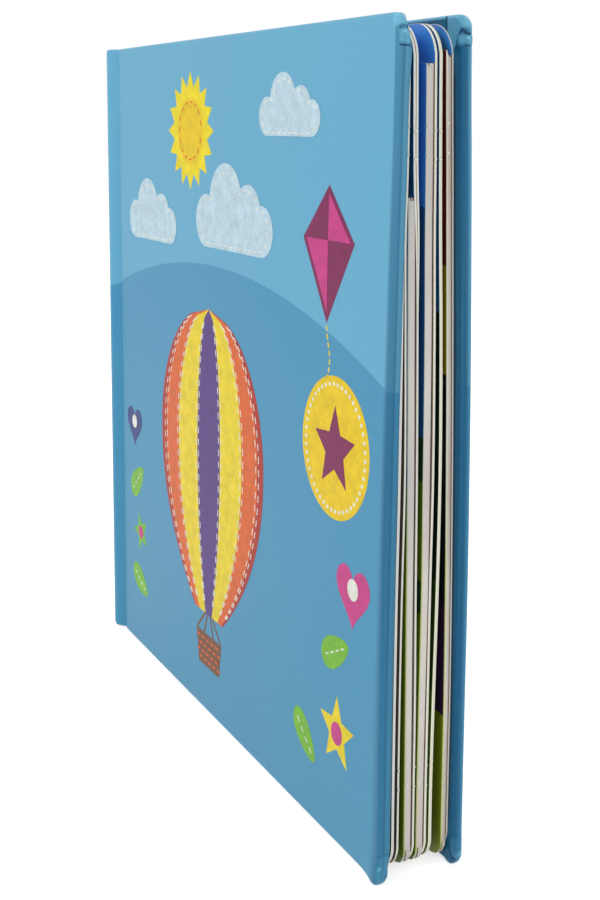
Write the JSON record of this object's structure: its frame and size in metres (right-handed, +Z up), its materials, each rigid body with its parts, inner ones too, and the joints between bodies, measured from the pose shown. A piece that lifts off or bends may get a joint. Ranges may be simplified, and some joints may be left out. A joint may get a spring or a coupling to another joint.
{
  "type": "pop-up book",
  "caption": "Square hard-cover children's pop-up book standing on its tail, with card pages, folded lift flaps and flat-folded pop-ups.",
  "frame": {"origin": "centre of the closed book's box, at the tail edges that it stands on", "axes": "+Z up along the spine, +X from the spine to the fore-edge, -Y out of the front cover"},
  "size_m": [0.187, 0.0236, 0.195],
  "materials": {
    "case_print": "gloss laminated print, light blue",
    "greyboard": "uncoated grey board",
    "page_card": "coated white card, satin, printed faces",
    "pastedown_card": "coated card, satin",
    "flap_card": "coated card, satin, folded",
    "popup_orange": "printed card",
    "popup_green": "printed card",
    "popup_red": "printed card",
    "popup_olive": "printed card",
    "ink_sky": "gloss laminated print, pale blue",
    "ink_sun": "gloss laminated print, yellow",
    "ink_cloud": "gloss laminated print, near white",
    "ink_kite": "gloss laminated print, plum",
    "ink_badge": "gloss laminated print, warm yellow",
    "ink_ring": "gloss laminated print, ivory",
    "ink_red": "gloss laminated print, red felt",
    "ink_orange": "gloss laminated print, orange felt",
    "ink_yellow": "gloss laminated print, yellow felt",
    "ink_purple": "gloss laminated print, purple felt",
    "ink_brown": "gloss laminated print, brown felt",
    "ink_leaf": "gloss laminated print, lime green felt"
  },
  "bodies": {
    "block": {"page_block": "page_card", "flap_1": "flap_card", "flap_2": "flap_card", "popup_1": "popup_orange", "popup_2": "popup_green", "popup_3": "popup_red", "popup_4": "popup_olive", "spine_board": "greyboard", "spine_wrap": "case_print"},
    "front_cover": {"front_board": "greyboard", "front_wrap": "case_print", "front_pastedown": "pastedown_card", "print_sky": "ink_sky", "print_sun": "ink_sun", "print_clouds": "ink_cloud", "print_kite": "ink_kite", "print_badge": "ink_badge", "print_badge_ring": "ink_ring", "print_gores_red": "ink_red", "print_gores_orange": "ink_orange", "print_gores_yellow": "ink_yellow", "print_gores_purple": "ink_purple", "print_basket": "ink_brown", "print_leaves": "ink_leaf"},
    "back_cover": {"back_board": "greyboard", "back_wrap": "case_print", "back_pastedown": "pastedown_card", "flap_3": "flap_card"}
  },
  "joints": [
    {"name": "front_cover_hinge", "type": "hinge", "parent": "block", "child": "front_cover", "pos_m": [-0.0895, -0.01038, 0.0975], "axis": [0, 0, -1], "range_deg": [0, 180]},
    {"name": "back_cover_hinge", "type": "hinge", "parent": "block", "child": "back_cover", "pos_m": [-0.0895, 0.01038, 0.0975], "axis": [0, 0, 1], "range_deg": [0, 180]}
  ]
}
